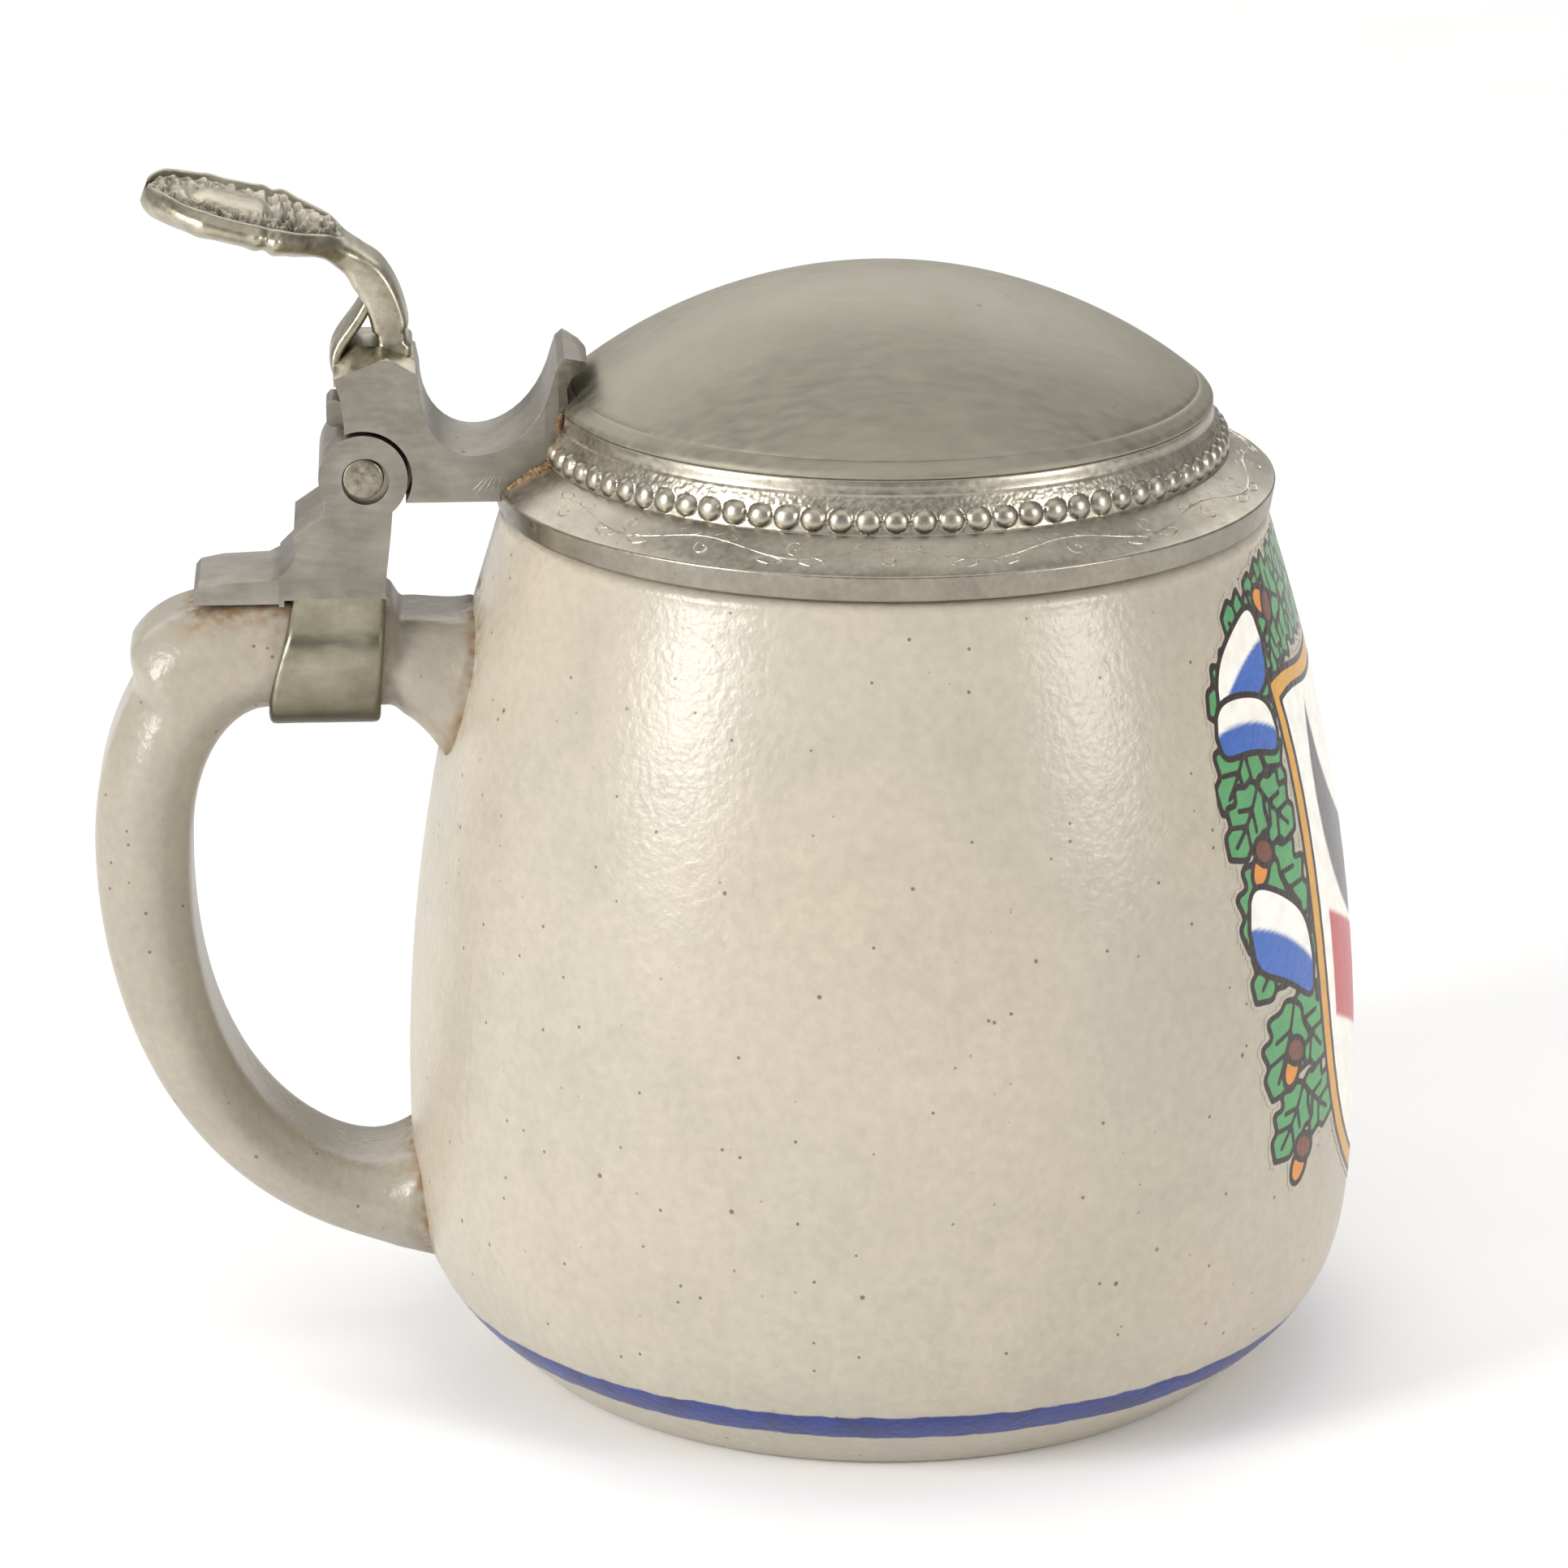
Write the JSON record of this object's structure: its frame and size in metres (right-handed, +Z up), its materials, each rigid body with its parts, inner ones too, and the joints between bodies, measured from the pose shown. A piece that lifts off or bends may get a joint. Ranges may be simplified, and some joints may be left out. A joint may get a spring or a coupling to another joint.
{
  "type": "lidded beer mug",
  "caption": "Squat salt-glazed stoneware beer mug with a loop handle and a hinged domed pewter lid raised by a leaf-shaped thumblift.",
  "frame": {"origin": "centre of the mug's flat foot, on the mug's own axis", "axes": "+Z up out of the foot, handle and hinge towards -X, painted front towards +X, hinge pin along Y"},
  "size_m": [0.1453, 0.11, 0.1389],
  "materials": {
    "stoneware": "satin salt glaze",
    "pewter": "dull cast and filed pewter",
    "pewter_collar": "dull greenish cast pewter",
    "pewter_lid": "turned and worn pewter",
    "pewter_thumblift": "cast relief, darkened in the hollows",
    "steel_pin": "plain steel rod"
  },
  "bodies": {
    "mug": {"mug_body": "stoneware", "handle": "stoneware", "handle_collar": "pewter_collar", "shank": "pewter", "hinge_pin": "steel_pin", "pin_plug_front": "pewter_lid", "pin_plug_rear": "pewter_lid"},
    "lid": {"lid_arm": "pewter", "thumblift": "pewter_thumblift", "lid_rim": "pewter_lid", "lid_dome": "pewter", "lid_locating_ring": "pewter_lid"}
  },
  "joints": [
    {"name": "lid_hinge", "type": "hinge", "parent": "mug", "child": "lid", "pos_m": [-0.0589, 0, 0.1058], "axis": [0, -1, 0], "range_deg": [0, 90]}
  ]
}
